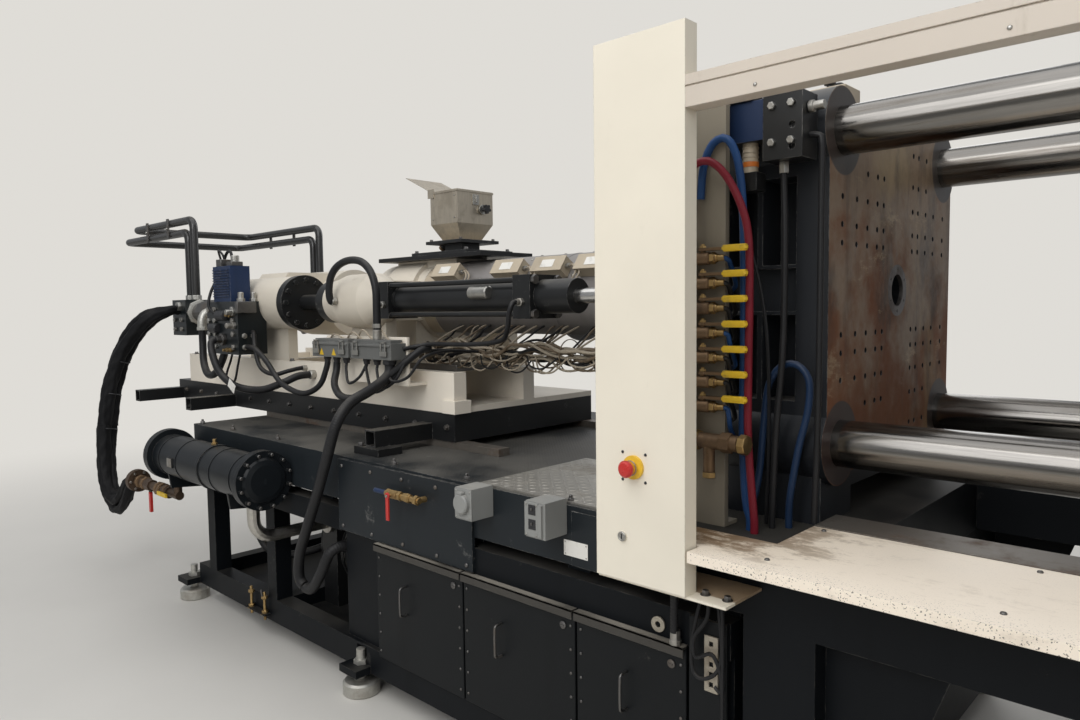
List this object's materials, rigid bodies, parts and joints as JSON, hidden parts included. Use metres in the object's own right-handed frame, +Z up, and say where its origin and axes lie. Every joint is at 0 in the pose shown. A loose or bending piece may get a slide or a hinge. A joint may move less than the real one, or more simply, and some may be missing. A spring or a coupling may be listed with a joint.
{
  "type": "injection moulding machine",
  "caption": "Horizontal injection moulding machine with a sliding injection carriage, material hopper, tie-bar clamp, side guard gate, oil cooler and water valve manifold.",
  "frame": {"origin": "centre of the plan outline, on the floor", "axes": "+X from the injection end to the clamp end, near side with the guard gate at -Y, +Z up"},
  "size_m": [7.58, 2.145, 2.2132],
  "materials": {
    "frame_paint": "satin, scuffed",
    "panel_paint": "satin, scuffed",
    "pad_steel": "dull zinc",
    "tread_steel": "worn tread plate",
    "worn_iron": "oily and rust-stained",
    "white_paint": "satin, chipped at edges",
    "yellow_plastic": "dusty",
    "red_plastic": "glossy",
    "clear_pane": "slightly yellowed",
    "platen_paint": "dark paint with bare machined face",
    "bare_steel": "machined, oily",
    "chrome_bar": "polished, oily streaks",
    "black_paint": "satin",
    "beige_paint": "aged",
    "brass_fitting": "tarnished",
    "hose_rubber": "matt",
    "cooler_paint": "satin",
    "pipe_steel": "dull",
    "grey_box": "satin",
    "barrel_steel": "heat-darkened",
    "cover_paint": "satin grey",
    "hopper_steel": "dull stainless",
    "black_plastic": "matt"
  },
  "bodies": {
    "machine_base": {"base_frame": "frame_paint", "clamp_base": "frame_paint", "leveling_feet": "pad_steel", "access_panels": "panel_paint", "bed": "frame_paint", "tread_plate": "tread_steel", "guide_rails": "worn_iron", "side_shelves": "white_paint", "guard_post": "white_paint", "guard_beam": "white_paint", "estop_collar": "yellow_plastic", "fixed_platen": "platen_paint", "locating_ring": "bare_steel", "tie_bars": "chrome_bar", "clamp_manifold": "black_paint", "hose_column": "beige_paint", "water_manifold": "brass_fitting", "water_hoses": "hose_rubber", "cooler_shell": "cooler_paint", "cooler_covers": "cooler_paint", "cooler_pipework": "pipe_steel", "air_valve": "brass_fitting", "outlet_boxes": "grey_box", "pump_motor": "black_paint", "contact_rods": "chrome_bar", "supply_hose": "hose_rubber"},
    "carriage": {"carriage_frame": "black_paint", "carriage_base": "white_paint", "barrel_housing": "white_paint", "barrel": "barrel_steel", "barrel_cover": "cover_paint", "heater_boxes": "beige_paint", "hopper_base": "black_paint", "contact_cylinders": "black_paint", "injection_rods": "chrome_bar", "connector_block": "grey_box", "carriage_hoses": "hose_rubber"},
    "hopper": {"hopper": "hopper_steel"},
    "hopper_lid": {"hopper_lid": "hopper_steel"},
    "hopper_knob": {"hopper_knob": "black_plastic"},
    "injection": {"drive_housing": "white_paint", "cylinder_heads": "black_paint", "screw_motor": "black_paint", "injection_manifold": "black_paint", "crossover_pipes": "black_paint"},
    "screw": {"screw": "bare_steel"},
    "moving_platen": {"moving_platen": "platen_paint", "tie_bar_locks": "platen_paint"},
    "ejector": {"ejector": "bare_steel"},
    "gate": {"gate": "white_paint", "gate_window": "clear_pane"},
    "air_valve_handle": {"air_valve_handle": "red_plastic"},
    "estop_button": {"estop_button": "red_plastic"},
    "valve_handle_1": {"valve_handle_1": "yellow_plastic"},
    "valve_handle_2": {"valve_handle_2": "yellow_plastic"},
    "valve_handle_3": {"valve_handle_3": "yellow_plastic"},
    "valve_handle_4": {"valve_handle_4": "yellow_plastic"},
    "valve_handle_5": {"valve_handle_5": "yellow_plastic"},
    "valve_handle_6": {"valve_handle_6": "yellow_plastic"},
    "valve_handle_7": {"valve_handle_7": "yellow_plastic"}
  },
  "joints": [
    {"name": "moving_platen_slide", "type": "slide", "parent": "machine_base", "child": "moving_platen", "axis": [1, 0, 0], "range_m": [-0.55, 0.35]},
    {"name": "ejector_slide", "type": "slide", "parent": "moving_platen", "child": "ejector", "axis": [1, 0, 0], "range_m": [-0.15, 0]},
    {"name": "gate_slide", "type": "slide", "parent": "machine_base", "child": "gate", "axis": [1, 0, 0], "range_m": [-1.13, 0]},
    {"name": "carriage_slide", "type": "slide", "parent": "machine_base", "child": "carriage", "axis": [1, 0, 0], "range_m": [-0.4, 0]},
    {"name": "injection_slide", "type": "slide", "parent": "carriage", "child": "injection", "axis": [1, 0, 0], "range_m": [-0.08, 0.22]},
    {"name": "screw_turn", "type": "hinge", "parent": "injection", "child": "screw", "pos_m": [-1.9, 0, 1.591], "axis": [1, 0, 0], "continuous": true},
    {"name": "hopper_slide", "type": "slide", "parent": "carriage", "child": "hopper", "axis": [1, 0, 0], "range_m": [-0.25, 0]},
    {"name": "hopper_lid_hinge", "type": "hinge", "parent": "hopper", "child": "hopper_lid", "pos_m": [-0.613, 0, 2.1243], "axis": [0, 1, 0], "range_deg": [0, 155]},
    {"name": "hopper_knob_turn", "type": "hinge", "parent": "hopper", "child": "hopper_knob", "pos_m": [-0.406, 0.04, 2.0303], "axis": [1, 0, 0], "range_deg": [0, 360]},
    {"name": "valve_1_turn", "type": "hinge", "parent": "machine_base", "child": "valve_handle_1", "pos_m": [1.31, -0.722, 1.699], "axis": [0, 0, 1], "range_deg": [-90, 0]},
    {"name": "valve_2_turn", "type": "hinge", "parent": "machine_base", "child": "valve_handle_2", "pos_m": [1.31, -0.722, 1.632], "axis": [0, 0, 1], "range_deg": [-90, 0]},
    {"name": "valve_3_turn", "type": "hinge", "parent": "machine_base", "child": "valve_handle_3", "pos_m": [1.31, -0.722, 1.565], "axis": [0, 0, 1], "range_deg": [-90, 0]},
    {"name": "valve_4_turn", "type": "hinge", "parent": "machine_base", "child": "valve_handle_4", "pos_m": [1.31, -0.722, 1.498], "axis": [0, 0, 1], "range_deg": [-90, 0]},
    {"name": "valve_5_turn", "type": "hinge", "parent": "machine_base", "child": "valve_handle_5", "pos_m": [1.31, -0.722, 1.431], "axis": [0, 0, 1], "range_deg": [-90, 0]},
    {"name": "valve_6_turn", "type": "hinge", "parent": "machine_base", "child": "valve_handle_6", "pos_m": [1.31, -0.722, 1.364], "axis": [0, 0, 1], "range_deg": [-90, 0]},
    {"name": "valve_7_turn", "type": "hinge", "parent": "machine_base", "child": "valve_handle_7", "pos_m": [1.31, -0.722, 1.297], "axis": [0, 0, 1], "range_deg": [-90, 0]},
    {"name": "air_valve_turn", "type": "hinge", "parent": "machine_base", "child": "air_valve_handle", "pos_m": [0.095, -0.911, 0.867], "axis": [0, 1, 0], "range_deg": [0, 90]},
    {"name": "estop_press", "type": "slide", "parent": "machine_base", "child": "estop_button", "axis": [0, 1, 0], "range_m": [0, 0.005], "stiffness_N_per_m": 800}
  ]
}
